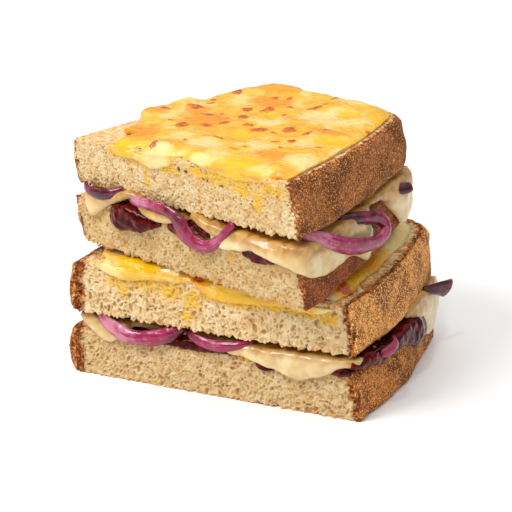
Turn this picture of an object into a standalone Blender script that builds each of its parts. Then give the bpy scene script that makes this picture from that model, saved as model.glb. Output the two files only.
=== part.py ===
"""A grilled cheese sandwich, cut in two, one half stacked on the other.

Each half is two thick slices of a farmhouse loaf with onion chutney, melted cheese and strips of
cooked red onion between them, and toasted cheese on top. Lengths are in millimetres until MM turns
them into metres. X runs along the cut of the lower half, from the loaf's domed top (-X) to its flat
base (+X), the cut faces look along -Y, and Z is up.
"""

from math import cos, exp, pi, radians, sin, tan

import bmesh
import bpy
from mathutils import Matrix, Vector, noise

MM = 0.001
NAME = "grilled_cheese_sandwich"
CLEARANCE = 0.35            # free space between pieces that lie on each other

# Outline of a half slice before it is fitted to its own cut. The cut comes first, then the loaf's
# flat base, its far side and its domed top.
CUT_LENGTH = 90.0
HALF_DEPTH = 73.5
DOME_TAPER = 17.0           # how far the domed side has come in at the far side
CORNER_RADII = (0.8, 0.8, 12.0, 36.0)
CORNER_STEPS = (1, 1, 4, 5)
SIDE_BULGES = (0.0, 2.6, 1.2, 1.6)
SIDE_STEPS = (20, 16, 4, 4)
CRUST_ROUNDING = 1.1        # how far the crust's edges turn in at a slice's two faces
CRUST_BELLIES = (0.0, 0.7, 0.7, 1.9)     # and how far each side swells between them
SLICE_LEVELS = (0.0, 0.09, 0.5, 0.91, 1.0)
FACE_RING = 0.5             # the ring that carries a face of a slice to its middle

# Each slice: the left and right end of the cut's lower and upper edge (x, y, z), how far each face
# rises from there to the back (left, right), and the angle of the loaf's base to the cut's square.
SLICES = {
    "lower_bottom_bread": dict(
        low=((-57.4, -16.8, 0.0), (42.1, -16.6, 0.0)), low_rise=(0.0, 0.0),
        top=((-58.0, -15.6, 15.5), (39.6, -17.6, 17.0)), top_rise=(0.8, 0.0), base_angle=3.2),
    "lower_top_bread": dict(
        low=((-56.8, -18.4, 23.0), (40.6, -18.5, 23.4)), low_rise=(-0.6, -0.8),
        top=((-55.0, -18.9, 40.0), (38.9, -20.0, 40.5)), top_rise=(0.0, 0.0), base_angle=3.2),
    "upper_bottom_bread": dict(
        low=((-55.2, -11.2, 45.0), (29.1, -31.1, 42.0)), low_rise=(1.0, 6.2),
        top=((-57.0, -11.8, 60.0), (27.1, -33.9, 59.2)), top_rise=(1.8, 5.6), base_angle=-5.5),
    "upper_top_bread": dict(
        low=((-57.0, -9.7, 64.0), (28.5, -35.2, 67.0)), low_rise=(0.8, 0.3),
        top=((-56.9, -12.2, 79.2), (26.4, -38.5, 85.6)), top_rise=(-1.0, -1.3), base_angle=-7.0),
}

# Each layer: the slice it lies on, the slice above it, its share of the space between them, how far
# its rim stays back from the bread's edge, any layer under it, the hollow that leaves the cut's left
# corner bare (half width, depth), and its drips. A drip is its way along the edge from the cut's
# left end, its half width, how far it stands out and how far it hangs down.
LAYERS = {
    "lower_chutney": dict(
        bread="lower_bottom_bread", roof="lower_top_bread", share=(0.0, 0.23), inset=2.6, drips=(
            (44.0, 16.0, 1.2, 1.6), (67.0, 5.0, 1.3, 3.0), (90.0, 5.0, 1.3, 2.6),
            (108.0, 8.0, 2.2, 4.2), (128.0, 7.5, 2.8, 6.2), (222.0, 14.0, 2.0, 3.5))),
    "lower_cheese": dict(
        bread="lower_bottom_bread", roof="lower_top_bread", share=(0.34, 0.66), inset=1.4, under="lower_chutney", drips=(
            (9.0, 6.0, 1.5, 4.2), (60.0, 8.0, 2.4, 2.2), (77.0, 12.0, 3.4, 4.4),
            (150.0, 8.5, 3.2, 9.5), (196.0, 12.0, 2.2, 4.0), (262.0, 14.0, 2.0, 3.4))),
    "upper_chutney": dict(
        bread="upper_bottom_bread", roof="upper_top_bread", share=(0.0, 0.22), inset=2.4, drips=(
            (21.0, 8.0, 3.2, 6.0), (41.0, 4.5, 1.3, 3.4), (51.0, 4.0, 1.2, 2.4),
            (71.0, 7.0, 1.4, 3.8), (176.0, 8.0, 1.8, 3.2), (240.0, 12.0, 1.8, 3.0))),
    "upper_cheese": dict(
        bread="upper_bottom_bread", roof="upper_top_bread", share=(0.34, 0.66), inset=1.2, under="upper_chutney", drips=(
            (6.0, 5.0, 1.4, 4.4), (34.0, 6.0, 1.4, 0.6), (57.0, 5.0, 1.4, 1.2),
            (75.0, 12.0, 2.9, 3.4), (93.0, 14.0, 2.6, 7.6), (118.0, 5.0, 2.2, 11.5),
            (146.0, 10.5, 4.6, 11.5), (196.0, 12.0, 2.2, 4.4), (222.0, 9.0, 1.8, 3.0))),
    "lower_toasted_cheese": dict(
        bread="lower_top_bread", roof="upper_bottom_bread", share=(0.0, 0.8), inset=2.4,
        thickest=2.4, hollow=(8.0, 6.0), drips=(
            (14.0, 7.0, 1.0, 1.4), (31.0, 10.0, 1.1, 3.2), (56.0, 12.0, 1.0, 1.4),
            (250.0, 12.0, 1.0, 1.6))),
    "upper_toasted_cheese": dict(
        bread="upper_top_bread", roof=None, share=(0.0, 1.0), inset=2.2,
        thickest=2.2, hollow=(16.0, 13.0), drips=(
            (19.0, 5.0, 1.0, 2.4), (35.0, 6.5, 1.2, 3.2), (56.0, 9.0, 1.0, 1.8),
            (72.0, 7.0, 1.0, 2.6), (212.0, 12.0, 1.0, 1.6), (240.0, 10.0, 1.0, 2.2))),
}
LAYER_RINGS = (0.88, 0.45)  # rings that carry a layer's upper face to its middle
LEAST_WALL = 0.5            # a layer's sheet that hangs down is at least this thick
BELOW_ROUNDING = 0.9        # the fraction of a slice's height where its rounded edge is past
UNEVENNESS = 0.35           # of a layer's upper face
SWELL_SIZE = 9.0            # the size of its swells

# Each strip of onion: the width and thickness of its band, and its route (x, y, z and the lean of
# the band from upright, in degrees).
ONIONS = {
    "upper_onion_curl": dict(width=3.2, thickness=1.4, route=(
        (-53.0, -15.2, 62.8, 20), (-51.0, -16.7, 62.4, 15), (-47.8, -17.8, 62.1, 10),
        (-44.0, -18.4, 62.4, 5), (-40.0, -19.2, 63.4, 5), (-36.8, -19.6, 64.5, 5))),
    "upper_onion_strip": dict(width=3.6, thickness=1.5, route=(
        (-31.4, -22.8, 63.4, 15), (-26.2, -24.2, 64.8, 10), (-20.5, -25.8, 65.2, 10),
        (-16.0, -26.9, 63.8, 5), (-13.6, -27.6, 61.4, 0), (-11.6, -28.1, 58.9, 0),
        (-8.8, -28.7, 57.4, 0), (-4.6, -29.9, 57.2, 0), (-1.0, -31.1, 58.5, 0),
        (2.4, -32.2, 61.2, 0), (5.2, -33.0, 63.7, 5))),
    "upper_onion_ring": dict(width=3.4, thickness=1.6, route=(
        (33.6, -30.2, 64.0, 5), (36.4, -23.6, 61.6, 10), (39.2, -17.6, 59.2, 15),
        (41.8, -10.4, 57.6, 15), (43.6, -3.4, 57.4, 10), (44.6, 1.8, 58.4, 0),
        (43.8, 4.2, 61.0, -10), (41.4, 0.2, 63.4, -20), (39.0, -5.2, 64.2, -25))),
    "upper_onion_end": dict(width=2.4, thickness=1.5, route=(
        (42.0, 16.8, 67.0, 80), (43.1, 19.6, 67.0, 80), (44.2, 22.4, 66.8, 80))),
    "lower_onion_arc": dict(width=3.6, thickness=1.5, route=(
        (-46.6, -19.6, 22.0, 25), (-43.6, -21.0, 20.9, 10), (-40.0, -21.7, 19.2, 5),
        (-35.6, -22.0, 18.0, 0), (-30.7, -22.1, 17.6, 0), (-25.9, -22.0, 18.3, 0),
        (-21.2, -21.8, 19.5, 5), (-17.2, -21.4, 20.9, 15))),
    "lower_onion_strip": dict(width=2.8, thickness=1.3, route=(
        (-12.4, -20.9, 20.6, 15), (-7.2, -21.5, 19.9, 5), (-2.3, -21.8, 19.6, 0),
        (2.2, -22.0, 20.4, 0), (5.8, -22.2, 21.8, 5))),
    "lower_onion_bit": dict(width=2.2, thickness=1.4, route=(
        (47.6, -6.4, 20.8, 0), (48.4, -2.4, 20.3, 0), (48.8, 1.8, 20.6, 0))),
    "lower_onion_end": dict(width=2.8, thickness=1.3, route=(
        (48.0, 38.4, 22.9, 80), (49.2, 41.4, 22.7, 75), (50.6, 43.4, 23.0, 50),
        (52.0, 43.4, 24.0, 20))),
}
BAND_SIDES = 6
STEPS_PER_SPAN = 2
BLUNT_END = 0.62            # a strip's ends are this much of its full section

# Colour (linear RGB) and roughness.
CRUMB = ((0.73, 0.55, 0.30), 0.85)
MELTED = ((0.75, 0.58, 0.28), 0.35)
TOASTED = ((0.89, 0.48, 0.08), 0.40)
CHUTNEY = ((0.06, 0.006, 0.005), 0.12)
ONION = ((0.42, 0.07, 0.17), 0.25)


def half_outline():
    """Points round a half slice: fractions of the cut and of the depth, the outward direction, and
    the side (0 for the cut, whose edges stay sharp)."""
    corners = [Vector((0.0, 0.0)), Vector((CUT_LENGTH, 0.0)), Vector((CUT_LENGTH, HALF_DEPTH)),
               Vector((DOME_TAPER, HALF_DEPTH))]
    bends = []
    for i, corner in enumerate(corners):
        arriving = (corner - corners[i - 1]).normalized()
        leaving = (corners[(i + 1) % 4] - corner).normalized()
        turn = arriving.angle(leaving)
        out = Vector((arriving.y, -arriving.x))
        centre = corner - arriving * CORNER_RADII[i] * tan(turn / 2) - out * CORNER_RADII[i]
        bend = []
        for k in range(CORNER_STEPS[i] + 1):
            facing = Matrix.Rotation(turn * k / CORNER_STEPS[i], 2) @ out
            side = i if 2 * k > CORNER_STEPS[i] else (i - 1) % 4
            bend.append((centre + facing * CORNER_RADII[i], facing, side))
        bends.append(bend)
    points = []
    for i, bend in enumerate(bends):
        points += bend
        start = bend[-1][0]
        end = bends[(i + 1) % 4][0][0]
        for k in range(1, SIDE_STEPS[i]):
            f = k / SIDE_STEPS[i]
            bulge = bend[-1][1] * SIDE_BULGES[i] * sin(pi * f)
            points.append((start.lerp(end, f) + bulge, bend[-1][1], i))
    return [(p.x / CUT_LENGTH, p.y / HALF_DEPTH, out, side) for p, out, side in points]


OUTLINE = half_outline()


def slice_axes(bread, t):
    """A slice's cut at the fraction t of its height: its left end, the vector to its right end, the
    vector to the back, and the shift of the back right corner that the base's angle makes."""
    left = Vector(bread["low"][0]).lerp(Vector(bread["top"][0]), t)
    right = Vector(bread["low"][1]).lerp(Vector(bread["top"][1]), t)
    cut = right - left
    along = Vector((cut.x, cut.y, 0.0)).normalized()
    depth = Vector((-along.y, along.x, 0.0)) * HALF_DEPTH
    rise = Vector(bread["low_rise"]).lerp(Vector(bread["top_rise"]), t)
    slant = along * HALF_DEPTH * tan(radians(bread["base_angle"]))
    return left, cut, depth, slant, rise


def slice_point(bread, u, v, t):
    """The point of a slice at the fractions u of its cut, v of its depth and t of its height."""
    left, cut, depth, slant, rise = slice_axes(bread, t)
    point = left + cut * u + depth * v + slant * u * v
    point.z += v * (rise[0] * (1.0 - u) + rise[1] * u)
    return point


def slice_height(bread, t, x, y):
    """The height of a slice's face (t is 0 for its underside, 1 for its top) above the spot x, y."""
    left, cut, depth, slant, rise = slice_axes(bread, t)
    offset = Vector((x - left.x, y - left.y, 0.0))
    flat_cut = Vector((cut.x, cut.y, 0.0))
    v = offset.dot(depth) / HALF_DEPTH ** 2
    u = offset.dot(flat_cut.normalized()) / (flat_cut + slant * v).dot(flat_cut.normalized())
    return left.z + cut.z * u + v * (rise[0] * (1.0 - u) + rise[1] * u)


def edge_point(bread, k, t, stand=0.0):
    """Outline point k on a slice's side at the fraction t of its height, moved out by stand, or
    towards the slice's middle if stand is less than zero."""
    u, v, out, side = OUTLINE[k]
    cut, depth = slice_axes(bread, t)[1:3]
    along = Vector((cut.x, cut.y, 0.0)).normalized()
    facing = along * out.x + depth.normalized() * out.y
    point = slice_point(bread, u, v, t)
    if side > 0:
        face = abs(2.0 * t - 1.0)
        turned_in = max(0.0, (face - 0.8) / 0.2) ** 2
        point += facing * (CRUST_BELLIES[side] * (1.0 - face ** 2) - CRUST_ROUNDING * turned_in)
    if stand < 0.0:
        return point + (slice_point(bread, 0.5, 0.5, t) - point).normalized() * -stand
    return point + facing * stand


def skin(name, rings, finish):
    """A closed piece through rings of equally many points, fanned shut at both ends."""
    body = bmesh.new()
    loops = [[body.verts.new(p * MM) for p in ring] for ring in rings]
    for lower, upper in zip(loops, loops[1:]):
        for k, vert in enumerate(lower):
            body.faces.new((lower[k - 1], vert, upper[k], upper[k - 1]))
    for loop in (loops[0], loops[-1]):
        middle = sum((v.co for v in loop), Vector()) / len(loop)
        hub = body.verts.new(middle)
        for k, vert in enumerate(loop):
            body.faces.new((loop[k - 1], vert, hub))
    bmesh.ops.recalc_face_normals(body, faces=body.faces)
    mesh = bpy.data.meshes.new(name)
    body.to_mesh(mesh)
    body.free()
    mesh.shade_smooth()
    mesh.materials.append(finish)
    piece = bpy.data.objects.new(name, mesh)
    collection.objects.link(piece)
    piece.parent = stack
    return piece


def face_ring(rim, share, height):
    """A rim drawn in towards its middle, on the surface that height(x, y) gives."""
    middle = sum(rim, Vector()) / len(rim)
    ring = []
    for point in rim:
        inner = middle.lerp(point, share)
        inner.z = height(inner.x, inner.y)
        ring.append(inner)
    return ring


def make_bread(name, bread, finish):
    count = len(OUTLINE)
    sides = [[edge_point(bread, k, t) for k in range(count)] for t in SLICE_LEVELS]
    under = face_ring(sides[0], FACE_RING, lambda x, y: slice_height(bread, 0.0, x, y))
    over = face_ring(sides[-1], FACE_RING, lambda x, y: slice_height(bread, 1.0, x, y))
    skin(name, [under, *sides, over], finish)


def rim_shape(layer):
    """For each outline point, the inner and outer face of a layer's rim, from the bread's edge out,
    and how far it hangs down."""
    bread = SLICES[layer["bread"]]
    count = len(OUTLINE)
    edge = [edge_point(bread, k, 1.0) for k in range(count)]
    free = [CLEARANCE] * count
    if "under" in layer:
        beneath = [outer for _, outer, _ in rim_shape(LAYERS[layer["under"]])]
        free = [CLEARANCE + max(0.0, beneath[k - 1], beneath[k], beneath[(k + 1) % count])
                for k in range(count)]
    around = sum((edge[k] - edge[k - 1]).length for k in range(count))
    hollow_width, hollow_depth = layer.get("hollow", (1.0, 0.0))
    outers = []
    drops = []
    way = 0.0
    for k in range(count):
        way += (edge[k] - edge[k - 1]).length if k else 0.0
        outer = -layer["inset"] - hollow_depth * exp(-(min(way, around - way) / hollow_width) ** 4)
        drop = 0.0
        for place, half_width, stand, hang in layer["drips"]:
            strength = exp(-((way - place) / half_width) ** 4)
            outer = max(outer, outer + strength * (stand - outer))
            drop = max(drop, strength * hang)
        outers.append(outer)
        drops.append(drop)
    clear = [outer > CLEARANCE + LEAST_WALL for outer in outers]
    rim = []
    for k in range(count):
        outer = outers[k]
        drop = drops[k] if clear[k - 1] and clear[k] and clear[(k + 1) % count] else 0.0
        if clear[k]:
            outer = max(outer, free[k] + LEAST_WALL)
        rim.append((free[k] if clear[k] else outer - LEAST_WALL, outer, drop))
    return rim


def make_layer(name, layer, finish):
    """A layer between two slices, or on the top one, with drips over the bread's edge."""
    bread = SLICES[layer["bread"]]
    roof = SLICES.get(layer["roof"])
    low_share, top_share = layer["share"]
    thickest = layer.get("thickest", 100.0)

    def underside(x, y):
        ground = slice_height(bread, 1.0, x, y) + CLEARANCE
        if low_share == 0.0:
            return ground
        space = slice_height(roof, 0.0, x, y) - CLEARANCE - ground
        return ground + low_share * space

    def top(x, y):
        ground = slice_height(bread, 1.0, x, y) + CLEARANCE
        space = thickest
        if roof:
            space = min(space, slice_height(roof, 0.0, x, y) - CLEARANCE - ground)
        swell = 0.5 + 0.5 * noise.noise(Vector((x, y, ground)) / SWELL_SIZE)
        return ground + top_share * space - UNEVENNESS * swell * min(1.0, space / 3.0)

    thickness = bread["top"][0][2] - bread["low"][0][2]
    seam = [[] for _ in range(6)]
    for k, (inner, outer, drop) in enumerate(rim_shape(layer)):
        edge = edge_point(bread, k, 1.0, outer)
        low = underside(edge.x, edge.y)
        high = top(edge.x, edge.y)
        body = high - low
        start = 1.0
        if inner >= CLEARANCE:
            above = low - slice_height(bread, 1.0, edge.x, edge.y)
            start = BELOW_ROUNDING if OUTLINE[k][3] > 0 else 1.0 + above / thickness
        hang = start - drop / thickness
        wall = outer - inner
        profile = (
            (start, inner, low),
            (hang, inner + 0.15 * wall, low - drop),
            (hang, inner + 0.5 * wall, low - drop * 1.06),
            (hang, outer, low - drop * 0.9 + body * 0.25),
            (start - 0.4 * drop / thickness, outer, low - drop * 0.35 + body * 0.55),
            (start, outer - 0.5 * wall, high),
        )
        for ring, (t, out, level) in zip(seam, profile):
            point = edge_point(bread, k, t, out)
            point.z = level
            ring.append(point)
    under = face_ring(seam[0], LAYER_RINGS[-1], underside)
    over = [face_ring(seam[-1], f, top) for f in LAYER_RINGS]
    skin(name, [under, *seam, *over], finish)


def smooth_route(route):
    """Points along a smooth curve (Catmull-Rom) through a strip's route."""
    knots = [Vector(knot) for knot in route]
    points = []
    for i in range(len(knots) - 1):
        before = knots[max(i - 1, 0)]
        after = knots[min(i + 2, len(knots) - 1)]
        start, end = knots[i], knots[i + 1]
        for k in range(STEPS_PER_SPAN):
            f = k / STEPS_PER_SPAN
            points.append(0.5 * (2.0 * start + (end - before) * f
                                 + (2.0 * before - 5.0 * start + 4.0 * end - after) * f ** 2
                                 + (3.0 * start - before - 3.0 * end + after) * f ** 3))
    return points + [knots[-1]]


def make_onion(name, strip, finish):
    route = smooth_route(strip["route"])
    rings = []
    for i, knot in enumerate(route):
        way = (route[min(i + 1, len(route) - 1)] - route[max(i - 1, 0)]).xyz.normalized()
        upright = Vector((0.0, 0.0, 1.0)) - way * way.z
        upright.normalize()
        upright = Matrix.Rotation(radians(knot[3]), 3, way) @ upright
        across = way.cross(upright)
        size = BLUNT_END if i in (0, len(route) - 1) else 1.0
        ring = []
        for k in range(BAND_SIDES):
            angle = 2.0 * pi * k / BAND_SIDES
            ring.append(knot.xyz + upright * cos(angle) * strip["width"] / 2 * size
                        + across * sin(angle) * strip["thickness"] / 2 * size)
        rings.append(ring)
    skin(name, rings, finish)


def make_finish(name, colour, roughness):
    finish = bpy.data.materials.new(name)
    finish.use_nodes = True
    shader = finish.node_tree.nodes["Principled BSDF"]
    shader.inputs["Base Color"].default_value = (*colour, 1.0)
    shader.inputs["Roughness"].default_value = roughness
    shader.inputs["Metallic"].default_value = 0.0
    finish.diffuse_color = (*colour, 1.0)
    return finish


for old in list(bpy.data.objects):
    bpy.data.objects.remove(old)
collection = bpy.data.collections.new(NAME)
bpy.context.scene.collection.children.link(collection)
stack = bpy.data.objects.new("stack", None)
collection.objects.link(stack)

for bread_name, bread_spec in SLICES.items():
    make_bread(bread_name, bread_spec, make_finish(bread_name, *CRUMB))
for layer_name, layer_spec in LAYERS.items():
    kind = CHUTNEY if "chutney" in layer_name else TOASTED if "toasted" in layer_name else MELTED
    make_layer(layer_name, layer_spec, make_finish(layer_name, *kind))
for onion_name, onion_spec in ONIONS.items():
    make_onion(onion_name, onion_spec, make_finish(onion_name, *ONION))

# The origin is below the middle of the whole, on the surface it stands on.
spots = [v.co for piece in collection.objects if piece.type == "MESH" for v in piece.data.vertices]
lowest = Vector(min(s[i] for s in spots) for i in range(3))
highest = Vector(max(s[i] for s in spots) for i in range(3))
stack.location = -Vector(((lowest.x + highest.x) / 2, (lowest.y + highest.y) / 2, lowest.z))
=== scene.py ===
"""A grilled cheese sandwich, cut in two, one half stacked on the other.

Each half is two slices of bread with onion chutney, melted cheese and red onion between them, and
toasted cheese on top. Lengths are in millimetres until MM turns them into metres.
"""

from math import cos, exp, pi, radians, sin

import bpy
import numpy as np
from mathutils import Matrix, Vector, noise
from mathutils.bvhtree import BVHTree


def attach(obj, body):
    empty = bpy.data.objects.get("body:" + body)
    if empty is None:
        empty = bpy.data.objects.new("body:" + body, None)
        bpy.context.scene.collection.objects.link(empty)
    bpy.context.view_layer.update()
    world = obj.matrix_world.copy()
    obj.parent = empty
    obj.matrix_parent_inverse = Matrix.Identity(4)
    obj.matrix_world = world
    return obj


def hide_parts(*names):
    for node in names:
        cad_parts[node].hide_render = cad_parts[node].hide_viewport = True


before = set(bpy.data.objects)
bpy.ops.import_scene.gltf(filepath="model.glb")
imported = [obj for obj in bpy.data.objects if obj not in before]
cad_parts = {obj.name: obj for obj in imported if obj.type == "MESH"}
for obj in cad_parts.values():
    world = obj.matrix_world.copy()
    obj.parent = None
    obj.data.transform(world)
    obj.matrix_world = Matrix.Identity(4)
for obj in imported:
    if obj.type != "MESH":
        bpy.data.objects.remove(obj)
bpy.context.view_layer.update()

# --- Bread -------------------------------------------------------------------------------------
# Four slices of a soft farmhouse loaf, about 17 mm thick and cut across once they are filled. The
# knife drags the crumb, so the cut is rough, full of small holes, and ragged along its lower edge.
# The crust is a thin browned skin round the other three sides, grainy with semolina.

MM = 0.001
UP = Vector((0.0, 0.0, 1.0))
WELD = 0.001            # corners of a CAD solid this close are one

noise.seed_set(11)      # otherwise noise_vector starts from the clock and is new in each run


def select_only(piece):
    bpy.ops.object.select_all(action="DESELECT")
    piece.select_set(True)
    bpy.context.view_layer.objects.active = piece


def finish_with(piece, kind, **settings):
    """Adds a modifier to a piece, sets it and applies it."""
    select_only(piece)
    modifier = piece.modifiers.new(kind.title(), kind)
    for key, value in settings.items():
        setattr(modifier, key, value)
    bpy.ops.object.modifier_apply(modifier=modifier.name)


def merged_copy(node, name):
    """A CAD solid as a piece of its own, with its loose triangles merged."""
    piece = bpy.data.objects.new(name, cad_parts[node].data.copy())
    bpy.context.scene.collection.objects.link(piece)
    piece.data.materials.clear()
    select_only(piece)
    bpy.ops.object.mode_set(mode="EDIT")
    bpy.ops.mesh.select_all(action="SELECT")
    bpy.ops.mesh.remove_doubles(threshold=WELD * MM)
    bpy.ops.mesh.normals_make_consistent(inside=False)
    bpy.ops.object.mode_set(mode="OBJECT")
    return piece


def read_points(piece):
    """A piece's points in millimetres and its normals there."""
    points = np.empty(len(piece.data.vertices) * 3)
    normals = np.empty(len(piece.data.vertices) * 3)
    piece.data.vertices.foreach_get("co", points)
    piece.data.vertices.foreach_get("normal", normals)
    points = [Vector(p) for p in points.reshape(-1, 3) / MM]
    return points, [Vector(n) for n in normals.reshape(-1, 3)]


def write_points(piece, points):
    piece.data.vertices.foreach_set("co", np.array(points).ravel() * MM)
    piece.data.update()


def paint(piece, layer, values):
    """Keeps one value per point on a piece, for its material."""
    attribute = piece.data.attributes.new(layer, "FLOAT", "POINT")
    attribute.data.foreach_set("value", values)


def settle(piece, node, finish):
    """Gives a finished piece its material and its CAD node's place."""
    piece.data.materials.append(finish)
    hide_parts(node)
    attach(piece, "root")


def smooth_step(low, high, value):
    """From 0 at low to 1 at high; low may be the greater."""
    f = min(1.0, max(0.0, (value - low) / (high - low)))
    return f * f * (3.0 - 2.0 * f)


def corner(node, x, y, z):
    """The corner of a CAD slice that lies furthest to the given side, in millimetres."""
    towards = Vector((x, y, 0.8 * z))
    points = (v.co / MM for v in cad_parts[node].data.vertices)
    return max(points, key=lambda p: p.dot(towards))


TURNED_IN = 1.1         # how far the crust's edges turn in at a slice's two faces
FROM_CORNER = 15.0      # where a crust side is measured, clear of its rounded corners
SLICE_DEPTH = 73.5      # from the cut to the side across from it
CLEAR = 30.0            # a start for looking at a side from outside, past anything that bulges
BELOW, ABOVE = -50.0, 200.0     # heights to look at the layers from, clear of them all
IN_THE_BREAD = 6.0      # where a slice's own height is read, past its rounded edge
ROUNDING = 1.5          # how far a side's edges are rounded, in height


class Slice:
    """Where a CAD slice's sides are. A spot beside one is given by s, its way along the side (from
    the left on the cut, from the cut on the others), by its height z, and by how far out it is."""

    def __init__(self, node):
        steep, on_cut = 0.75, 0.85      # how a crust face's normal is told from the others'
        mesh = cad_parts[node].data
        self.low = corner(node, -1, -1, -1), corner(node, 1, -1, -1)
        self.top = corner(node, -1, -1, 1), corner(node, 1, -1, 1)
        self.along = ((self.low[1] - self.low[0]) * Vector((1, 1, 0))).normalized()
        self.facing = Vector((self.along.y, -self.along.x, 0.0))
        for left, right in (self.low, self.top):
            left -= self.along * TURNED_IN
            right += self.along * TURNED_IN
        self.length = (self.low[1] - self.low[0]).length
        corners = [v.co / MM for v in mesh.vertices]
        self.solid = BVHTree.FromPolygons(corners, [tuple(p.vertices) for p in mesh.polygons])
        self.crust = BVHTree.FromPolygons(corners, [
            tuple(p.vertices) for p in mesh.polygons
            if abs(p.normal.z) < steep and p.normal.dot(self.facing) < on_cut])
        self.sides = {"cut": (self.low[0], self.along, self.facing)}
        left = self.low[0].lerp(self.top[0], 0.5)
        right = self.low[1].lerp(self.top[1], 0.5)
        self.add_side("base", right, -self.facing, self.along)
        self.add_side("dome", left, -self.facing, -self.along)
        self.add_side("back", right - self.facing * SLICE_DEPTH, -self.along, -self.facing)

    def add_side(self, name, start, along, facing):
        spots = [self.solid.ray_cast(start + along * reach + facing * CLEAR, -facing)[0]
                 for reach in (FROM_CORNER, 3.0 * FROM_CORNER)]
        along = ((spots[1] - spots[0]) * Vector((1, 1, 0))).normalized()
        facing = (facing - along * facing.dot(along)).normalized()
        self.sides[name] = (start + facing * facing.dot(spots[0] - start), along, facing)

    def levels(self, spot):
        """The height of the slice's underside and of its top at a spot."""
        under = self.solid.ray_cast(Vector((spot.x, spot.y, BELOW)), UP)[0]
        over = self.solid.ray_cast(Vector((spot.x, spot.y, ABOVE)), -UP)[0]
        return (under.z, over.z) if under and over else (self.low[0].z, self.top[0].z)

    def beside(self, side, s, z, out):
        """A spot beside the bread itself, wherever its side bulges to."""
        start, along, facing = self.sides[side]
        foot = start + along * s
        under, over = self.levels(foot - facing * IN_THE_BREAD)
        foot.z = min(over - ROUNDING, max(under + ROUNDING, z))
        spot = self.solid.ray_cast(foot + facing * CLEAR, -facing)[0] or foot
        spot = spot + facing * out
        spot.z = z
        return spot

    def past(self, side, s, z, out):
        """A spot that far out from the straight line along a side."""
        start, along, facing = self.sides[side]
        spot = start + along * s + facing * out
        if side == "cut":
            f = s / self.length
            low, top = self.low[0].lerp(self.low[1], f), self.top[0].lerp(self.top[1], f)
            spot = low.lerp(top, (z - low.z) / (top.z - low.z)) + facing * out
        spot.z = z
        return spot

    def inside_cut(self, spot):
        """How far a spot lies behind the upper edge of the cut."""
        s = (spot - self.low[0]).dot(self.along) / self.length
        return -(spot - self.top[0].lerp(self.top[1], s)).dot(self.facing)

    def on_top(self, spot):
        """How far a spot on the slice's upper face is from the cut's left end, and from the cut."""
        offset = spot - self.top[0]
        return offset.dot(self.along), -offset.dot(self.facing)


def everything_but(node):
    """The other CAD solids as one tree."""
    corners, sides = [], []
    for name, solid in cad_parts.items():
        if name != node:
            sides += [tuple(len(corners) + v for v in p.vertices) for p in solid.data.polygons]
            corners += [v.co / MM for v in solid.data.vertices]
    return BVHTree.FromPolygons(corners, sides)


slices = {name: Slice(name) for name in (
    "lower_bottom_bread", "lower_top_bread", "upper_bottom_bread", "upper_top_bread")}
neighbours = {node: everything_but(node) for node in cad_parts}

# Of each slice: its crumb's pores, how deep they are, its knobs, how far crumbs hang from the cut's lower
# edge, how wide the browned band is at the cut's dome end and base end, the two tones of its crumb (darker
# on the lower slice of each half, as painted shade under the slice above), its crust's colours (dark, light,
# grain, and the level that grain starts from), and the spots (s, z, half width, half height) where fat has
# soaked into the cut and where it is scorched.
BREAD = {
    "upper_top_bread": dict(
        pore=0.95, deep=0.4, knobs=0.45, fringe=1.1, bands=(0.9, 1.8),
        crumb=((226, 202, 156), (216, 184, 130)),
        crust=((104, 50, 22), (160, 92, 48), (226, 166, 84), 0.56),
        soaked=((18, 79, 3, 2.5), (27, 78, 5, 1.6), (30.8, 73, 1.6, 6), (40, 78.5, 6, 2.2),
                (52, 80, 6, 2.4), (60, 80, 6, 3.2), (68, 79.5, 6, 4.2), (74, 76, 2.2, 5.5),
                (80, 81.5, 6, 3)),
        scorched=((14, 79.1, 0.5, 0.5), (44.5, 79.4, 0.5, 1.0), (47.2, 79.2, 0.8, 0.6),
                  (54, 78.6, 0.7, 0.4), (55.5, 78.3, 0.4, 0.4), (60.8, 77.9, 0.7, 0.4))),
    "upper_bottom_bread": dict(
        pore=1.1, deep=0.5, knobs=0.45, fringe=1.1, bands=(1.2, 1.8),
        # Crumb darker than the top slice's: painted shade under the slice above.
        crumb=((212, 186, 138), (202, 168, 112)),
        crust=((104, 46, 20), (150, 80, 40), (206, 146, 84), 0.60),
        soaked=((60, 54.5, 1.4, 1.6),),
        scorched=()),
    "lower_top_bread": dict(
        pore=1.45, deep=0.85, knobs=0.4, fringe=1.0, bands=(5.0, 2.8),
        crumb=((232, 208, 162), (222, 190, 136)),
        crust=((132, 66, 24), (222, 148, 74), (250, 200, 124), 0.53),
        soaked=((17, 36, 4, 2.5), (19.5, 33, 2, 4), (27, 36, 7, 2.6), (35, 35.5, 6, 4),
                (43, 33.5, 4, 4.5), (41, 28, 2.4, 4), (50, 36, 7, 2.6), (60, 35.5, 8, 2.6),
                (70, 36, 8, 2.2), (80, 36, 8, 2.6), (88, 35, 4, 3)),
        scorched=((29.8, 23.6, 0.9, 0.5),)),
    "lower_bottom_bread": dict(
        pore=1.35, deep=0.8, knobs=0.4, fringe=1.0, bands=(4.4, 3.0),
        # Crumb darker than the top slice's: painted shade under the slice above.
        crumb=((218, 192, 146), (206, 174, 120)),
        crust=((112, 52, 18), (198, 120, 56), (238, 176, 98), 0.55),
        soaked=((60, 15.5, 4, 1.2),),
        scorched=()),
}
CRUMB_VOXEL = 0.45      # of the skin that the crumb is shaped in
HIDDEN_FROM = 3.0       # a face this far in, with another layer close over it, is thinned
COVERED = 3.0           # how close that layer is
FRESH_CUT = 1.2         # how far in the faces of the cut itself lie


def spots_at(spots, a, b, spread=1.0):
    """The strongest of some soft-edged spots (a, b, half width, half depth) at one place."""
    return max((exp(-(((a - x) / (rx * spread)) ** 2 + ((b - y) / (ry * spread)) ** 2) ** 1.5)
                for x, y, rx, ry in spots), default=0.0)


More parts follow.
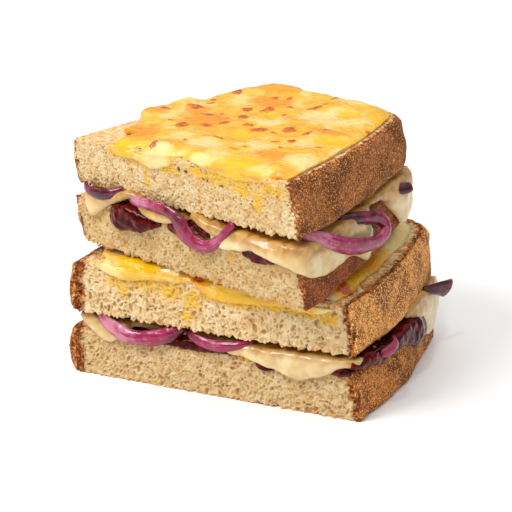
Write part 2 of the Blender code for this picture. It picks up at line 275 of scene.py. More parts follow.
def crumb_pores(p, size):
    """How deep into a pore of the crumb a spot is, from 0 on a wall between pores to 1."""
    near, cells = noise.voronoi(p / size)
    depth = 0.5 + 0.5 * noise.cell(cells[0] * 7.3)
    return smooth_step(0.04, 0.46, near[1] - near[0]) * (0.35 + 0.65 * depth)


def bake_bread(name, spec):
    """A slice with its open crumb, its ragged cut and its rough crust."""
    cad = slices[name]
    piece = merged_copy(name, name + "_loaf")
    finish_with(piece, "REMESH", mode="VOXEL", voxel_size=CRUMB_VOXEL * MM, use_smooth_shade=True)
    thin_inside(piece, name, cad, ratio=0.33)
    refine_cut(piece, cad)
    points, normals = read_points(piece)
    moved = []
    layers = {kind: [] for kind in ("pore", "from_crust", "soaked", "scorched", "toasted")}
    middle = cad.length / 2
    for p, n in zip(points, normals):
        s = (p - cad.low[0]).dot(cad.along)
        bottom = cad.low[0].lerp(cad.low[1], s / cad.length).z
        top = cad.top[0].lerp(cad.top[1], s / cad.length).z
        from_crust = cad.crust.find_nearest(p)[3]
        from_cut = max(0.0, -(p - cad.low[0]).dot(cad.facing))
        band = spec["bands"][0] if s < middle else spec["bands"][1]
        crumb = smooth_step(0.25, 1.0, from_crust + 0.3 * noise.noise(p / 1.1))
        browned = 1.0 - smooth_step(0.4 * band, band, from_crust + 0.6 * noise.noise(p / 1.3))
        # The crumb: pores taller than they are wide, two sizes of them, and knobs of dough between.
        upright = Vector((p.x, p.y, 0.66 * p.z)) + noise.noise_vector(p / 2.6) * 0.8
        knobs = noise.noise(p / 0.7) * 0.55 + noise.noise(upright / 1.6) * 0.6
        pores = max(crumb_pores(upright, spec["pore"]),
                    0.6 * crumb_pores(upright + UP * 40.0, 0.62 * spec["pore"]))
        out = crumb * (spec["knobs"] * knobs + 0.2 - spec["deep"] * pores * (1.0 + 0.5 * browned))
        # The crust: fine grain, small dents and the slow waves of a hand-shaped loaf.
        skin = noise.noise(p / 0.6) * 0.12 + noise.noise(p / 2.4) * 0.22 + noise.noise(p / 9.0) * 0.7
        out += (1.0 - crumb) * skin
        # The cut's lower edge: crumbs that the knife dragged down and pushed in or out.
        edge = exp(-(max(0.0, p.z - bottom) / 1.6) ** 2 - (from_cut / 2.2) ** 2)
        drag = max(0.0, 0.3 + noise.noise(Vector((s / 1.2, 0.0, bottom))) + 0.6 * knobs)
        q = p + n * out
        q.z -= spec["fringe"] * edge * crumb * drag if bottom > 1.0 else min(0.0, q.z)
        q -= cad.facing * edge * crumb * 0.8 * noise.noise(Vector((s / 1.9, 3.0, bottom)))
        moved.append(q)
        # What the material needs to know at each point.
        ragged = 1.6 * noise.noise(p / 1.5)
        # pore: how deep in a pore a point lies, for the painted shade the material puts there.
        layers["pore"].append(crumb * min(1.0, max(0.0, 0.85 * pores - 0.5 * knobs)))
        layers["from_crust"].append(from_crust)
        soaked = exp(-(from_cut / 4.0) ** 2) * spots_at(spec["soaked"], s + ragged, p.z + ragged)
        layers["soaked"].append(smooth_step(0.1, 1.1, soaked + 0.35 * min(0.0, knobs - pores)))
        layers["scorched"].append(exp(-(from_cut / 2.0) ** 2) * spots_at(spec["scorched"], s, p.z))
        grilled = smooth_step(6.0, 1.0, from_crust + 2.0 * noise.noise(p / 2.5)) if n.z > 0.5 else 0.0
        layers["toasted"].append(max(crumb * exp(-((p.z - bottom) / 0.9) ** 2),
                                     crumb * exp(-((p.z - top) / 0.6) ** 2), 1.4 * grilled))
    write_points(piece, moved)
    for kind, values in layers.items():
        paint(piece, kind, values)
    settle(piece, name, bread_finish(name, spec))


def thin_inside(piece, node, cad, ratio):
    """Thins the level faces that the next layer, or the table, hides well in from the edges."""
    points, normals = read_points(piece)
    spare = piece.vertex_groups.new(name="spare")
    spare.add([i for i, (p, n) in enumerate(zip(points, normals)) if abs(n.z) > 0.6
               and min(cad.crust.find_nearest(p)[3], -(p - cad.low[0]).dot(cad.facing)) > HIDDEN_FROM
               and (p.z < 1.0 or neighbours[node].ray_cast(p, n, COVERED)[0])], 1.0, "REPLACE")
    finish_with(piece, "DECIMATE", ratio=ratio, vertex_group="spare")
    piece.vertex_groups.clear()


def refine_cut(piece, cad):
    """Splits the faces of the cut once more, for its fine crumb."""
    select_only(piece)
    mesh = piece.data
    for polygon in mesh.polygons:
        from_cut = -(polygon.center / MM - cad.low[0]).dot(cad.facing)
        polygon.select = from_cut < FRESH_CUT and polygon.normal.dot(cad.facing) > 0.3
    bpy.ops.object.mode_set(mode="EDIT")
    bpy.ops.mesh.select_mode(type="FACE")
    bpy.ops.mesh.subdivide(number_cuts=1)
    bpy.ops.object.mode_set(mode="OBJECT")
    bpy.ops.object.shade_smooth()


def shade(red, green, blue):
    """A linear colour from the usual 0 to 255 steps."""
    steps = (c / 255.0 for c in (red, green, blue))
    return (*(c / 12.92 if c <= 0.04045 else ((c + 0.055) / 1.055) ** 2.4 for c in steps), 1.0)


class Finish:
    """A material that is put together from the shader outwards."""

    def __init__(self, name, **sockets):
        self.material = bpy.data.materials.new(name)
        self.material.use_nodes = True
        self.tree = self.material.node_tree
        self.shader = self.tree.nodes["Principled BSDF"]
        self.place = self.node("ShaderNodeTexCoord").outputs["Object"]
        self.give(self.shader, {k.replace("_", " "): v for k, v in sockets.items()})

    def give(self, node, inputs):
        for socket, value in inputs.items():
            if isinstance(value, bpy.types.NodeSocket):
                self.tree.links.new(value, node.inputs[socket])
            else:
                node.inputs[socket].default_value = value

    def node(self, kind, inputs=(), **settings):
        node = self.tree.nodes.new(kind)
        for key, value in settings.items():
            setattr(node, key, value)
        self.give(node, dict(inputs))
        return node

    def layer(self, name):
        """The values painted on the piece's points under a name."""
        return self.node("ShaderNodeAttribute", attribute_name=name).outputs["Fac"]

    def speckle(self, size, detail=2.0):
        """Noise whose lumps are about size millimetres across, round 0.5."""
        return self.node("ShaderNodeTexNoise", {"Vector": self.place, "Scale": 1.0 / (size * MM),
                                               "Detail": detail}).outputs["Fac"]

    def math(self, operation, a, b=0.0):
        node = self.node("ShaderNodeMath", operation=operation)
        self.give(node, {0: a, 1: b})
        return node.outputs[0]

    def between(self, value, low, high, start=0.0, end=1.0):
        """Start up to where value is low, then smoothly to end where it is high."""
        return self.node("ShaderNodeMapRange", {
            "Value": value, "From Min": low, "From Max": high, "To Min": start, "To Max": end},
            interpolation_type="SMOOTHSTEP").outputs[0]

    def mix(self, share, a, b):
        node = self.node("ShaderNodeMix", data_type="RGBA")
        self.give(node, {0: share, 6: a, 7: b})
        return node.outputs[2]

    def bump(self, height, depth):
        """Relief too fine for the mesh, depth millimetres deep."""
        return self.node("ShaderNodeBump", {"Height": height, "Distance": depth * MM}).outputs[0]


def bread_finish(name, spec):
    """Crumb on the cut and the tops, browned towards the crust, and the grainy crust itself."""
    f = Finish(name, Roughness=0.85, Subsurface_Weight=0.08, Subsurface_Scale=0.0012)
    f.shader.inputs["Specular IOR Level"].default_value = 0.3
    pore, from_crust = f.layer("pore"), f.layer("from_crust")
    dark, light, grain, grain_from = spec["crust"]
    crumb = f.mix(f.between(f.speckle(4.0), 0.35, 0.65), *(shade(*c) for c in spec["crumb"]))
    crumb = f.mix(f.between(f.speckle(0.7), 0.48, 0.7, 0.0, 0.3), crumb, shade(190, 144, 84))
    # Painted shade: the crumb darker in its pores, deeper pores darker, on top of the pits in the mesh.
    crumb = f.mix(f.between(pore, 0.1, 0.8, 0.0, 0.8), crumb, shade(178, 128, 66))
    crust_crumb = f.mix(f.between(f.speckle(1.0), 0.38, 0.56), shade(196, 116, 44), shade(100, 46, 16))
    toast = f.math("MULTIPLY", f.layer("toasted"), f.between(f.speckle(1.6), 0.5, 0.62, 0.0, 0.8))
    crumb = f.mix(toast, crumb, shade(206, 124, 48))
    crumb = f.mix(f.math("MULTIPLY", f.layer("soaked"), 0.95), crumb, shade(226, 176, 40))
    crumb = f.mix(f.layer("scorched"), crumb, shade(92, 36, 10))
    rough_edge = f.math("ADD", from_crust, f.between(f.speckle(1.3), 0.3, 0.7, -0.7, 0.7))
    left, right = spec["bands"]
    from_middle = f.node("ShaderNodeSeparateXYZ", {0: f.place}).outputs[0]
    band = f.between(from_middle, -10 * MM, 10 * MM, left, right)
    crumb = f.mix(f.between(f.math("DIVIDE", rough_edge, band), 0.5, 1.0, 1.0, 0.0), crumb, crust_crumb)
    skin = f.mix(f.between(f.speckle(7.0), 0.39, 0.6), shade(*dark), shade(*light))
    skin = f.mix(f.between(f.speckle(1.0, 3.0), 0.46, 0.58, 0.0, 0.75), skin, shade(*dark))
    skin = f.mix(f.between(f.speckle(0.48, 1.0), grain_from, grain_from + 0.09, 0.0, 0.9), skin,
                 shade(*grain))
    colour = f.mix(f.between(from_crust, 0.25, 0.6, 1.0, 0.0), crumb, skin)
    f.give(f.shader, {"Base Color": colour, "Normal": f.bump(f.speckle(0.5, 3.0), 0.3)})
    return f.material


for name, spec in BREAD.items():
    bake_bread(name, spec)

# --- Melted cheese and chutney -----------------------------------------------------------------
# Between the slices of each half lie a spoonful of dark onion chutney and, on it, slices of mild
# cheese that have melted. Both have run over the edges of the bread and set there in soft lips.

# The lips along each side: s, the lip's lower and upper edge, how far out it is and its half
# thickness. Between the places given, a lip changes smoothly.
FILLINGS = {
    "upper_cheese": ("upper_bottom_bread", (
        ("cut", (4.5, 60.5, 63.0, 0.2, 1.1), (5.6, 55.6, 63.5, 0.4, 1.3), (7.2, 54.9, 64.0, 0.5, 1.4),
         (9.5, 57.0, 64.0, 0.5, 1.4), (12.0, 58.8, 64.4, 0.6, 1.5), (15.0, 61.0, 65.2, 0.7, 1.5),
         (18.0, 62.8, 66.0, 0.6, 1.5), (21.5, 64.2, 66.6, 0.3, 1.3), (25.0, 64.2, 66.6, -0.5, 1.2)),
        ("cut", (25.5, 61.5, 64.5, 0.1, 1.2), (28.0, 60.0, 63.8, 0.4, 1.5), (31.5, 59.2, 63.6, 0.6, 1.7),
         (36.0, 59.6, 63.4, 0.6, 1.7), (39.5, 60.6, 63.0, 0.3, 1.3), (42.0, 61.4, 63.0, -0.3, 1.0)),
        ("cut", (46.5, 63.0, 65.5, 0.1, 1.2), (49.5, 61.8, 65.4, 0.6, 1.8), (53.0, 60.6, 64.8, 0.8, 2.0),
         (56.0, 60.4, 64.0, 0.6, 1.7), (58.5, 60.6, 63.0, 0.2, 1.2)),
        ("cut", (53.8, 57.0, 60.0, 0.1, 1.1), (57.0, 56.2, 61.0, 0.4, 1.5), (60.5, 56.6, 61.8, 0.6, 1.6),
         (64.5, 57.4, 62.4, 0.6, 1.6), (67.5, 59.1, 63.0, 0.6, 1.5), (71.0, 58.3, 62.8, 0.7, 1.6),
         (75.0, 57.6, 62.4, 0.7, 1.7), (79.0, 57.0, 62.0, 0.7, 1.7), (83.0, 56.3, 61.8, 0.6, 1.7),
         (86.2, 54.6, 61.4, 0.2, 1.6)),
        ("base", (0.0, 54.0, 61.2, 0.2, 1.6), (3.0, 52.4, 61.4, 0.5, 1.6), (7.0, 51.7, 61.8, 0.5, 1.6),
         (12.0, 51.2, 62.0, 0.4, 1.5), (17.0, 51.2, 62.4, 0.3, 1.4), (22.0, 51.6, 62.6, 0.3, 1.3),
         (26.5, 51.2, 62.8, 0.2, 1.3), (29.5, 49.7, 62.8, 0.2, 1.3), (32.5, 47.5, 62.6, 0.2, 1.4),
         (35.0, 46.8, 60.0, 0.1, 1.3), (37.2, 48.8, 58.0, 0.0, 1.0)),
        ("base", (38.0, 64.0, 65.6, -0.4, 1.0), (45.0, 62.4, 65.8, 0.1, 1.3), (50.0, 59.6, 66.2, 0.4, 1.6),
         (53.5, 56.5, 66.4, 0.7, 1.8), (57.0, 52.8, 66.4, 1.0, 2.1), (60.0, 49.8, 66.2, 1.3, 2.2),
         (63.0, 48.4, 66.0, 1.5, 2.2), (66.0, 50.0, 65.8, 1.5, 2.1), (68.5, 53.6, 65.4, 1.4, 1.9),
         (71.0, 58.4, 65.0, 1.2, 1.5)),
        ("back", (3.0, 60.0, 65.0, 0.4, 1.6), (14.0, 62.0, 65.6, 0.2, 1.4), (26.0, 59.4, 65.6, 0.5, 1.6),
         (34.0, 57.6, 65.4, 0.5, 1.6), (42.0, 60.6, 65.2, 0.2, 1.4), (52.0, 60.0, 64.8, 0.1, 1.3)),
        ("dome", (14.0, 61.6, 64.4, -0.2, 1.2), (24.0, 59.4, 64.6, 0.4, 1.5), (33.0, 59.8, 64.8, 0.4, 1.5),
         (42.0, 62.0, 64.8, -0.2, 1.2)))),
    "lower_cheese": ("lower_bottom_bread", (
        ("cut", (4.8, 19.4, 22.0, 0.0, 1.1), (6.6, 16.4, 22.2, 0.4, 1.4), (9.0, 14.4, 21.0, 0.5, 1.5),
         (11.5, 13.2, 19.2, 0.5, 1.5), (14.0, 12.9, 17.4, 0.5, 1.4), (17.0, 14.2, 16.6, 0.3, 1.1),
         (19.0, 15.2, 16.6, 0.0, 0.8)),
        ("cut", (54.5, 16.4, 18.6, 0.1, 1.1), (58.5, 16.0, 19.8, 0.4, 1.5), (62.5, 15.4, 20.2, 0.6, 1.7),
         (66.0, 14.2, 20.4, 0.6, 1.7), (71.0, 13.3, 20.8, 0.7, 1.8), (76.0, 12.3, 21.0, 0.9, 2.0),
         (80.0, 12.0, 21.0, 0.9, 2.0), (84.0, 13.2, 21.2, 0.8, 1.9), (88.0, 15.2, 21.4, 0.6, 1.7),
         (92.0, 18.0, 21.6, 0.3, 1.4), (97.0, 19.2, 21.8, 0.0, 1.2)),
        ("base", (0.5, 19.2, 21.8, 0.0, 1.1), (6.0, 19.2, 21.6, 0.0, 1.1), (11.0, 20.2, 21.6, -0.6, 0.8)),
        ("base", (34.0, 21.6, 24.8, -0.4, 1.1), (39.0, 19.4, 25.4, 0.3, 1.5), (43.0, 16.4, 25.6, 0.5, 1.7),
         (47.0, 12.2, 25.4, 0.5, 1.8), (51.0, 8.6, 24.6, 0.6, 1.9), (55.0, 6.0, 24.0, 0.7, 1.9),
         (59.0, 5.4, 24.0, 0.8, 1.9), (62.5, 6.6, 24.0, 0.9, 1.8), (65.0, 10.0, 24.0, 1.0, 1.6)),
        ("back", (4.0, 14.0, 23.0, 1.2, 1.6), (12.0, 18.4, 23.0, 0.4, 1.4), (22.0, 14.8, 22.8, 0.5, 1.7),
         (30.0, 15.2, 22.4, 0.5, 1.7), (38.0, 19.0, 22.2, 0.2, 1.3), (50.0, 18.8, 22.0, 0.0, 1.2)),
        ("dome", (6.0, 18.6, 22.0, 0.0, 1.2), (16.0, 17.0, 22.0, 0.4, 1.5), (26.0, 18.8, 22.0, 0.1, 1.3),
         (36.0, 15.4, 22.2, 0.5, 1.7), (46.0, 14.8, 22.2, 0.5, 1.7), (54.0, 18.4, 22.0, 0.0, 1.2)))),
    "upper_chutney": ("upper_bottom_bread", (
        ("cut", (14.6, 54.6, 59.0, 0.1, 1.2), (16.6, 52.9, 61.6, 0.8, 2.0), (20.0, 53.2, 62.4, 1.0, 2.3),
         (24.0, 53.8, 62.4, 1.1, 2.4), (27.5, 54.6, 61.0, 0.9, 2.1), (30.0, 55.8, 60.4, 0.6, 1.7),
         (32.4, 57.2, 59.4, 0.2, 1.0)),
        ("cut", (37.6, 57.0, 59.6, 0.0, 1.0), (39.8, 55.9, 60.0, 0.2, 1.3), (42.2, 56.8, 59.8, 0.0, 1.1)),
        ("cut", (46.0, 60.4, 62.8, 0.0, 1.1), (49.0, 58.6, 62.0, 0.2, 1.4), (52.0, 58.2, 60.4, 0.0, 1.1)),
        ("cut", (65.8, 56.0, 58.6, 0.0, 1.0), (68.5, 54.8, 59.0, 0.2, 1.4), (72.0, 54.8, 58.4, 0.2, 1.4),
         (76.0, 56.0, 57.8, 0.0, 1.0)),
        ("back", (8.0, 62.0, 65.0, 0.0, 1.3), (15.0, 60.0, 65.0, 0.3, 1.6), (21.0, 62.0, 65.0, 0.0, 1.3)),
        ("dome", (44.0, 60.4, 63.4, 0.0, 1.2), (51.0, 57.6, 63.2, 0.4, 1.6), (57.0, 60.0, 63.0, 0.0, 1.2)))),
    "lower_chutney": ("lower_bottom_bread", (
        ("cut", (27.0, 15.0, 16.6, -0.2, 0.8), (36.0, 14.6, 18.2, 0.0, 1.2), (45.0, 14.9, 19.0, 0.1, 1.3),
         (55.0, 15.4, 18.0, 0.0, 1.1), (60.0, 15.8, 17.2, -0.2, 0.8)),
        ("cut", (65.2, 13.4, 15.0, 0.0, 0.8), (67.6, 12.4, 15.2, 0.2, 1.2), (70.0, 12.4, 13.8, 0.0, 0.8)),
        ("cut", (88.0, 16.6, 18.0, 0.0, 0.9), (91.0, 15.0, 18.8, 0.3, 1.5), (94.4, 15.4, 18.4, 0.1, 1.2)),
        ("base", (-0.5, 18.6, 21.6, 0.0, 1.1), (4.0, 17.4, 22.4, 0.4, 1.6), (9.0, 16.0, 22.0, 0.7, 2.0),
         (15.0, 15.0, 21.0, 0.8, 2.1), (20.0, 15.2, 20.6, 0.8, 2.0), (25.0, 15.6, 21.0, 0.7, 2.0),
         (30.0, 14.0, 21.4, 0.7, 2.1), (35.0, 11.2, 21.2, 0.9, 2.5), (39.5, 10.0, 20.4, 1.1, 2.7),
         (43.5, 11.2, 18.8, 1.0, 2.3), (46.5, 13.6, 17.0, 0.5, 1.4)),
        ("back", (38.0, 15.0, 19.0, 0.0, 1.3), (45.0, 12.8, 19.2, 0.5, 1.9), (52.0, 15.0, 19.0, 0.1, 1.3)),
        ("dome", (24.0, 15.6, 19.0, 0.0, 1.2), (30.0, 13.8, 19.0, 0.4, 1.6), (36.0, 15.4, 19.0, 0.0, 1.2)))),
}
LIP_STEP = 0.9           # between the rounded lumps that a lip is built up from
# The heights above the bread's upper edge between which a lip turns from cream to amber: greasy, and painted
# shade from the slice above.
GREASE_AND_SHADE = {"upper_cheese": (-1.0, 3.2), "lower_cheese": (0.8, 5.5)}
TUCKED_IN = {"cheese": 1.2, "chutney": 3.0}     # how far a layer stays back from the bread's edge


LUMP_HALF_WIDTH = 1.6    # along the side, so that neighbours overlap


def add_lump(cad, side, centre, half_thick, half_high):
    """A rounded lump of filling, turned to lie along a side."""
    _, along, _ = cad.sides[side]
    turn = Matrix((along, UP.cross(along), UP)).transposed().to_4x4()
    bpy.ops.object.select_all(action="DESELECT")
    bpy.ops.mesh.primitive_uv_sphere_add(segments=16, ring_count=10, radius=MM)
    lump = bpy.context.object
    lump.data.transform(Matrix.Translation(centre * MM) @ turn
                        @ Matrix.Diagonal((LUMP_HALF_WIDTH, half_thick, half_high, 1.0)))
    return lump


def add_lips(piece, cad, lips, layer=None, tucked=0.0):
    """Builds lips up from rounded lumps that run into each other, and joins them on. Where a layer
    is tucked in, a neck of more lumps leads back from each lip to it."""
    lumps = []
    for side, *places in lips:
        for place in smooth_route([Vector(p) for p in places], LIP_STEP):
            s, low, high, out, half_thick = place
            centre = cad.beside(side, s, (low + high) / 2, out)
            lumps.append(add_lump(cad, side, centre, half_thick, (high - low) / 2))
            inner = cad.beside(side, s, high, -tucked - 1.5)
            over = layer.ray_cast(Vector((inner.x, inner.y, ABOVE)), -UP)[0] if layer else None
            if over:
                foot, head = high - 1.8, max(high, over.z + 0.1)
                neck = cad.beside(side, s, (foot + head) / 2, -tucked / 2 - 0.2)
                lumps.append(add_lump(cad, side, neck, tucked / 2 + 1.5, (head - foot) / 2))
    select_only(piece)
    for lump in lumps:
        lump.select_set(True)
    bpy.ops.object.join()


def smooth_route(knots, step):
    """Points a step apart on a smooth curve (Catmull-Rom) through knots of any number of values."""
    route = []
    for i in range(len(knots) - 1):
        before, start, end, after = (knots[min(max(k, 0), len(knots) - 1)]
                                     for k in (i - 1, i, i + 1, i + 2))
        steps = max(1, round((end - start).length / step))
        for k in range(steps):
            f = k / steps
            route.append(0.5 * (2 * start + (end - before) * f
                                + (2 * before - 5 * start + 4 * end - after) * f ** 2
                                + (3 * start - before - 3 * end + after) * f ** 3))
    return route + [knots[-1]]


def tuck_in(piece, cad, tucked):
    """Draws the edge of a layer back over the bread, and lays what hangs over it flat."""
    points, _ = read_points(piece)
    moved = []
    for p in points:
        q = p - cad.facing * max(0.0, tucked - cad.inside_cut(p))
        spot, normal, _, _ = cad.crust.find_nearest(q)
        outwards = Vector((normal.x, normal.y, 0.0)).normalized()
        q -= outwards * max(0.0, (q - spot).dot(outwards) + tucked)
        q.z = max(q.z, cad.levels(q)[1] + 0.4)
        moved.append(q)
    write_points(piece, moved)


def let_run(node, cad, lips, voxel, smoothing, thin):
    """A CAD layer with its lips, run together into one soft skin."""
    piece = merged_copy(node, node + "_melt")
    tucked = TUCKED_IN[node.split("_")[-1]]
    tuck_in(piece, cad, tucked)
    layer = BVHTree.FromPolygons([v.co / MM for v in piece.data.vertices],
                                 [tuple(p.vertices) for p in piece.data.polygons])
    add_lips(piece, cad, lips, layer, tucked)
    finish_with(piece, "REMESH", mode="VOXEL", voxel_size=voxel * MM, use_smooth_shade=True)
    finish_with(piece, "SMOOTH", factor=0.5, iterations=smoothing)
    thin_inside(piece, node, cad, thin)
    return piece


def cheese_finish(name):
    """Cream where the cheese is thick, with paler flecks of painted highlight; amber where it is thin and
    greasy, and amber as painted shade where it runs into the gap under the slice above.
    """
    f = Finish(name, Roughness=0.22, Subsurface_Weight=0.35, Subsurface_Scale=0.0025)
    f.shader.inputs["Subsurface Radius"].default_value = (1.0, 0.6, 0.25)
    cream = f.mix(f.between(f.speckle(6.0), 0.35, 0.65), shade(228, 206, 156), shade(212, 180, 122))
    # Paler flecks over the cream: painted highlights.
    cream = f.mix(f.between(f.speckle(1.6, 3.0), 0.55, 0.75, 0.0, 0.3), cream, shade(236, 220, 182))
    # Amber: the cheese's grease together with painted shade of the gap between the slices.
    greased_shaded_amber = f.mix(f.between(f.speckle(4.0), 0.4, 0.6), shade(190, 142, 66), shade(158, 106, 40))
    f.give(f.shader, {"Base Color": f.mix(f.layer("thin"), cream, greased_shaded_amber),
                      "Normal": f.bump(f.speckle(1.4, 3.0), 0.10)})
    return f.material


def chutney_finish(name):
    """Dark red-brown jam with a wet gloss."""
    f = Finish(name, Roughness=0.08, Subsurface_Weight=0.1, Subsurface_Scale=0.002)
    f.shader.inputs["Specular IOR Level"].default_value = 0.25
    f.shader.inputs["Specular Tint"].default_value = (1.0, 0.4, 0.4, 1.0)
    f.shader.inputs["Subsurface Radius"].default_value = (1.0, 0.1, 0.08)
    dark = f.mix(f.between(f.speckle(2.2), 0.4, 0.65), shade(40, 3, 3), shade(98, 11, 7))
    f.give(f.shader, {"Base Color": dark, "Normal": f.bump(f.speckle(2.6, 1.0), 0.25)})
    return f.material


for name, (bread, lips) in FILLINGS.items():
    cad = slices[bread]
    # The cheese is amber on its way out from between the slices and in the upper part of a lip: grease, with
    # painted shade of the gap under the slice above.
    if "cheese" in name:
        piece = let_run(name, cad, lips, voxel=0.45, smoothing=18, thin=0.3)
        points, normals = read_points(piece)
        moved, thin = [], []
        for p, n in zip(points, normals):
            moved.append(p + n * (noise.noise(p / 5.0) * 0.55 + noise.noise(p / 2.2) * 0.12))
            # The thin layer marks painted shade and grease together: under the slice above on faces turned
            # up, and high on a lip.
            spot, outwards, _, _ = cad.crust.find_nearest(p)
            inside = min(cad.inside_cut(p), (spot - p).dot(outwards)) + 1.3 * noise.noise(p / 3.0)
            s = (p - cad.low[0]).dot(cad.along) / cad.length
            above = p.z - cad.top[0].lerp(cad.top[1], s).z + 1.3 * noise.noise(p / 2.4)
            thin.append(max(smooth_step(-3.4, 0.6, inside) * smooth_step(-0.35, 0.55, n.z),
                            0.85 * smooth_step(*GREASE_AND_SHADE[name], above)))
        write_points(piece, moved)
        paint(piece, "thin", thin)
        settle(piece, name, cheese_finish(name))
    else:
        piece = let_run(name, cad, lips, voxel=0.4, smoothing=14, thin=0.3)
        points, normals = read_points(piece)
        write_points(piece, [p + n * (noise.noise(p / 3.4) * 0.7 + noise.noise(p / 1.5) * 0.2)
                             for p, n in zip(points, normals)])
        settle(piece, name, chutney_finish(name))

# --- Onion -------------------------------------------------------------------------------------
# Strips of red onion, cooked until they are limp and glossy. Each is a slice of one layer of the
# bulb: a flat ribbed band, purple on its skin side and pink where it was cut.

# Each strip's width and thickness, and its route: side, s, z, how far out it is, its lean in degrees, its
# size there, and its colour there, from 0 for deep purple to 1 for pale pink. Where the ring runs back under
# the slice above, its darker colour is painted shade.
ONIONS = {
    "upper_onion_curl": (4.2, 1.5, (
        ("cut", 5.0, 65.0, -0.8, 25, 0.6, 0.2), ("cut", 7.0, 63.6, 0.8, 20, 0.9, 0.3),
        ("cut", 11.0, 63.0, 1.6, 15, 1.0, 0.1), ("cut", 14.5, 63.7, 1.7, 10, 1.0, 0.0),
        ("cut", 17.6, 65.0, 1.2, 5, 0.8, 0.1), ("cut", 21.0, 66.6, -0.8, 5, 0.5, 0.1))),
    "upper_onion_strip": (4.9, 1.7, (
        ("cut", 23.4, 62.9, -0.6, 25, 0.6, 0.9), ("cut", 27.4, 64.1, 0.9, 20, 0.9, 0.9),
        ("cut", 32.4, 64.8, 1.6, 15, 0.85, 0.7), ("cut", 37.4, 64.8, 1.9, 10, 0.8, 0.35),
        ("cut", 41.4, 64.0, 2.1, 5, 0.9, 0.2), ("cut", 44.0, 62.2, 2.4, 0, 1.15, 0.3),
        ("cut", 45.4, 59.6, 2.7, 0, 1.2, 0.4), ("cut", 47.6, 57.2, 2.6, 0, 1.05, 0.45),
        ("cut", 51.3, 56.0, 2.3, 0, 0.9, 0.5), ("cut", 55.4, 57.3, 2.0, 0, 0.75, 0.6),
        ("cut", 58.9, 60.4, 1.6, 0, 0.65, 0.6), ("cut", 61.4, 63.4, 0.8, 5, 0.55, 0.5),
        ("cut", 63.4, 66.0, -0.8, 5, 0.5, 0.3))),
    "upper_onion_ring": (5.4, 2.2, (
        ("base", 3.6, 66.6, -4.5, 5, 0.6, 0.8), ("base", 7.0, 64.4, -1.6, 5, 0.8, 0.9),
        ("base", 10.4, 62.4, 0.8, 8, 0.95, 0.7), ("base", 14.4, 60.2, 2.6, 10, 1.0, 0.5),
        ("base", 20.4, 57.4, 4.0, 12, 1.0, 0.45),
        ("base", 28.4, 55.2, 4.8, 10, 1.0, 0.45), ("base", 35.6, 54.4, 5.2, 5, 0.95, 0.6),
        ("base", 39.4, 55.6, 5.2, 0, 0.9, 0.65), ("base", 40.4, 58.0, 4.4, 0, 0.85, 0.45),
        # From here the ring runs back under the slice above; its colour falls to deep purple as painted
        # shade.
        ("base", 37.6, 60.6, 3.2, 0, 0.85, 0.35), ("base", 32.4, 62.2, 2.0, 0, 0.85, 0.2),
        ("base", 26.4, 63.4, 0.2, 0, 0.8, 0.1), ("base", 21.4, 64.8, -2.6, 0, 0.7, 0.0))),
    "upper_onion_end": (4.2, 3.0, (
        ("base", 53.4, 63.4, -3.2, 20, 0.8, 0.0), ("base", 56.2, 62.8, 0.4, 15, 0.95, 0.0),
        ("base", 58.6, 62.4, 2.2, 15, 0.95, 0.05), ("base", 60.8, 62.2, 3.0, 15, 0.8, 0.25))),
    "lower_onion_arc": (5.4, 2.2, (
        ("cut", 9.8, 22.8, -1.0, 25, 0.5, 0.5), ("cut", 11.8, 21.2, 0.8, 15, 0.8, 0.8),
        ("cut", 14.8, 19.0, 1.6, 8, 1.0, 0.95), ("cut", 19.2, 17.2, 2.1, 0, 1.05, 0.9),
        ("cut", 23.8, 16.6, 2.4, 0, 1.0, 0.7), ("cut", 28.3, 16.9, 2.4, 0, 1.0, 0.55),
        ("cut", 32.6, 18.0, 2.2, 0, 1.0, 0.5), ("cut", 36.8, 19.6, 1.6, 5, 0.95, 0.35),
        ("cut", 40.8, 21.4, -0.6, 15, 0.7, 0.2))),
    "lower_onion_strip": (4.0, 1.7, (
        ("cut", 41.8, 20.6, -1.0, 15, 0.7, 0.1), ("cut", 44.0, 19.7, 0.5, 10, 0.9, 0.3),
        ("cut", 47.8, 18.9, 1.5, 5, 1.0, 0.5), ("cut", 52.2, 18.5, 1.7, 0, 1.0, 0.5),
        ("cut", 56.4, 19.0, 1.7, 0, 0.9, 0.4), ("cut", 60.6, 19.9, 1.3, 0, 0.8, 0.4),
        ("cut", 65.4, 21.2, -0.8, 5, 0.6, 0.3))),
    "lower_onion_bit": (3.6, 1.9, (
        ("base", 7.6, 20.8, 1.4, 0, 0.8, 0.3), ("base", 11.0, 21.4, 3.2, 0, 1.0, 0.5),
        ("base", 14.6, 22.0, 3.4, 0, 1.0, 0.4), ("base", 17.4, 22.6, 1.6, 0, 0.8, 0.2))),
    "lower_onion_end": (6.6, 1.8, (
        ("base", 50.4, 24.2, -2.0, 35, 0.6, 0.0), ("base", 53.0, 24.0, 0.8, 30, 0.75, 0.0),
        ("base", 55.6, 23.4, 2.2, 25, 0.9, 0.05), ("base", 58.0, 22.8, 3.2, 25, 1.05, 0.15),
        ("base", 60.2, 22.2, 3.9, 25, 1.15, 0.25))),
}
BAND_STEP = 0.35        # between the rings of a band
BAND_SIDES = 28
BAND_CUP = 0.3          # how hollow a band is across, as a share of its thickness
ENDS_IN = 1.2           # the length over which a band's ends round off


